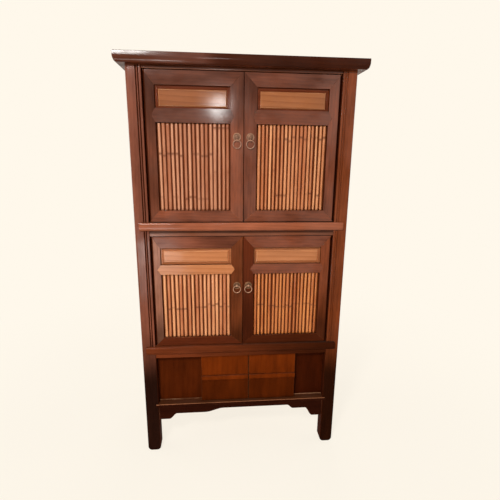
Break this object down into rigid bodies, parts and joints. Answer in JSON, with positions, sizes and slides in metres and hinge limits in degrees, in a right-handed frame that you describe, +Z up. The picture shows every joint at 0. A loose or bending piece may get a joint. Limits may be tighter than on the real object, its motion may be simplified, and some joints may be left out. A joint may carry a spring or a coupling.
{
  "type": "tv armoire",
  "caption": "Tall lacquered elm media armoire on straight legs, with pairs of bamboo-faced doors over small drawers, a moulded cornice and hanging ring pulls.",
  "frame": {"origin": "on the floor, under the middle of the cabinet's box", "axes": "+Z up, the doors and drawers face -Y, +X to the right seen from the front"},
  "size_m": [1.078, 0.678, 1.94],
  "materials": {
    "elm": "red-brown lacquer, satin",
    "dark_elm": "dark brown lacquer, satin",
    "drawer_elm": "warm brown lacquer, satin",
    "inner_wood": "plain oiled wood, matt",
    "honey_wood": "honey-coloured lacquer, satin",
    "bamboo": "split bamboo, oiled",
    "brass": "aged brass, dull"
  },
  "bodies": {
    "carcass": {"post_front_left": "elm", "post_front_right": "elm", "post_rear_left": "elm", "post_rear_right": "elm", "side_panel_left": "elm", "side_panel_right": "elm", "cornice": "elm", "top_board": "elm", "head_rail": "elm", "mid_rail": "elm", "sill_rail": "elm", "base_rail": "dark_elm", "apron": "dark_elm", "back_panel": "inner_wood", "tv_deck": "inner_wood", "lower_deck": "inner_wood", "base_deck": "inner_wood", "fixed_panel_left": "drawer_elm", "fixed_panel_right": "drawer_elm", "drawer_case": "inner_wood"},
    "door_upper_left": {"door_upper_left_hinge_stile": "elm", "door_upper_left_meeting_stile": "elm", "door_upper_left_top_rail": "elm", "door_upper_left_bottom_rail": "elm", "door_upper_left_lock_rail": "elm", "door_upper_left_small_panel": "honey_wood", "door_upper_left_bamboo_panel": "bamboo", "door_upper_left_pull_plate": "brass"},
    "door_upper_right": {"door_upper_right_hinge_stile": "elm", "door_upper_right_meeting_stile": "elm", "door_upper_right_top_rail": "elm", "door_upper_right_bottom_rail": "elm", "door_upper_right_lock_rail": "elm", "door_upper_right_small_panel": "honey_wood", "door_upper_right_bamboo_panel": "bamboo", "door_upper_right_pull_plate": "brass"},
    "door_lower_left": {"door_lower_left_hinge_stile": "elm", "door_lower_left_meeting_stile": "elm", "door_lower_left_top_rail": "elm", "door_lower_left_bottom_rail": "elm", "door_lower_left_lock_rail": "honey_wood", "door_lower_left_small_panel": "honey_wood", "door_lower_left_bamboo_panel": "bamboo", "door_lower_left_pull_plate": "brass"},
    "door_lower_right": {"door_lower_right_hinge_stile": "elm", "door_lower_right_meeting_stile": "elm", "door_lower_right_top_rail": "elm", "door_lower_right_bottom_rail": "elm", "door_lower_right_lock_rail": "elm", "door_lower_right_small_panel": "honey_wood", "door_lower_right_bamboo_panel": "bamboo", "door_lower_right_pull_plate": "brass"},
    "ring_upper_left": {"door_upper_left_pull_ring": "brass"},
    "ring_upper_right": {"door_upper_right_pull_ring": "brass"},
    "ring_lower_left": {"door_lower_left_pull_ring": "brass"},
    "ring_lower_right": {"door_lower_right_pull_ring": "brass"},
    "drawer_upper_left": {"drawer_upper_left": "drawer_elm"},
    "drawer_upper_right": {"drawer_upper_right": "drawer_elm"},
    "drawer_lower_left": {"drawer_lower_left": "drawer_elm"},
    "drawer_lower_right": {"drawer_lower_right": "drawer_elm"}
  },
  "joints": [
    {"name": "door_upper_left_hinge", "type": "hinge", "parent": "carcass", "child": "door_upper_left", "pos_m": [-0.419, -0.285, 1.556], "axis": [0, 0, -1], "range_deg": [0, 100]},
    {"name": "door_upper_right_hinge", "type": "hinge", "parent": "carcass", "child": "door_upper_right", "pos_m": [0.419, -0.285, 1.556], "axis": [0, 0, 1], "range_deg": [0, 100]},
    {"name": "door_lower_left_hinge", "type": "hinge", "parent": "carcass", "child": "door_lower_left", "pos_m": [-0.419, -0.285, 0.8845], "axis": [0, 0, -1], "range_deg": [0, 100]},
    {"name": "door_lower_right_hinge", "type": "hinge", "parent": "carcass", "child": "door_lower_right", "pos_m": [0.419, -0.285, 0.8845], "axis": [0, 0, 1], "range_deg": [0, 100]},
    {"name": "ring_upper_left_swing", "type": "hinge", "parent": "door_upper_left", "child": "ring_upper_left", "pos_m": [-0.0305, -0.3031, 1.598], "axis": [-1, 0, 0], "range_deg": [0, 105]},
    {"name": "ring_upper_right_swing", "type": "hinge", "parent": "door_upper_right", "child": "ring_upper_right", "pos_m": [0.0295, -0.3031, 1.598], "axis": [-1, 0, 0], "range_deg": [0, 105]},
    {"name": "ring_lower_left_swing", "type": "hinge", "parent": "door_lower_left", "child": "ring_lower_left", "pos_m": [-0.029, -0.3031, 0.917], "axis": [-1, 0, 0], "range_deg": [0, 105]},
    {"name": "ring_lower_right_swing", "type": "hinge", "parent": "door_lower_right", "child": "ring_lower_right", "pos_m": [0.0265, -0.3031, 0.917], "axis": [-1, 0, 0], "range_deg": [0, 105]},
    {"name": "drawer_upper_left_slide", "type": "slide", "parent": "carcass", "child": "drawer_upper_left", "axis": [0, -1, 0], "range_m": [0, 0.34]},
    {"name": "drawer_upper_right_slide", "type": "slide", "parent": "carcass", "child": "drawer_upper_right", "axis": [0, -1, 0], "range_m": [0, 0.34]},
    {"name": "drawer_lower_left_slide", "type": "slide", "parent": "carcass", "child": "drawer_lower_left", "axis": [0, -1, 0], "range_m": [0, 0.34]},
    {"name": "drawer_lower_right_slide", "type": "slide", "parent": "carcass", "child": "drawer_lower_right", "axis": [0, -1, 0], "range_m": [0, 0.34]}
  ]
}
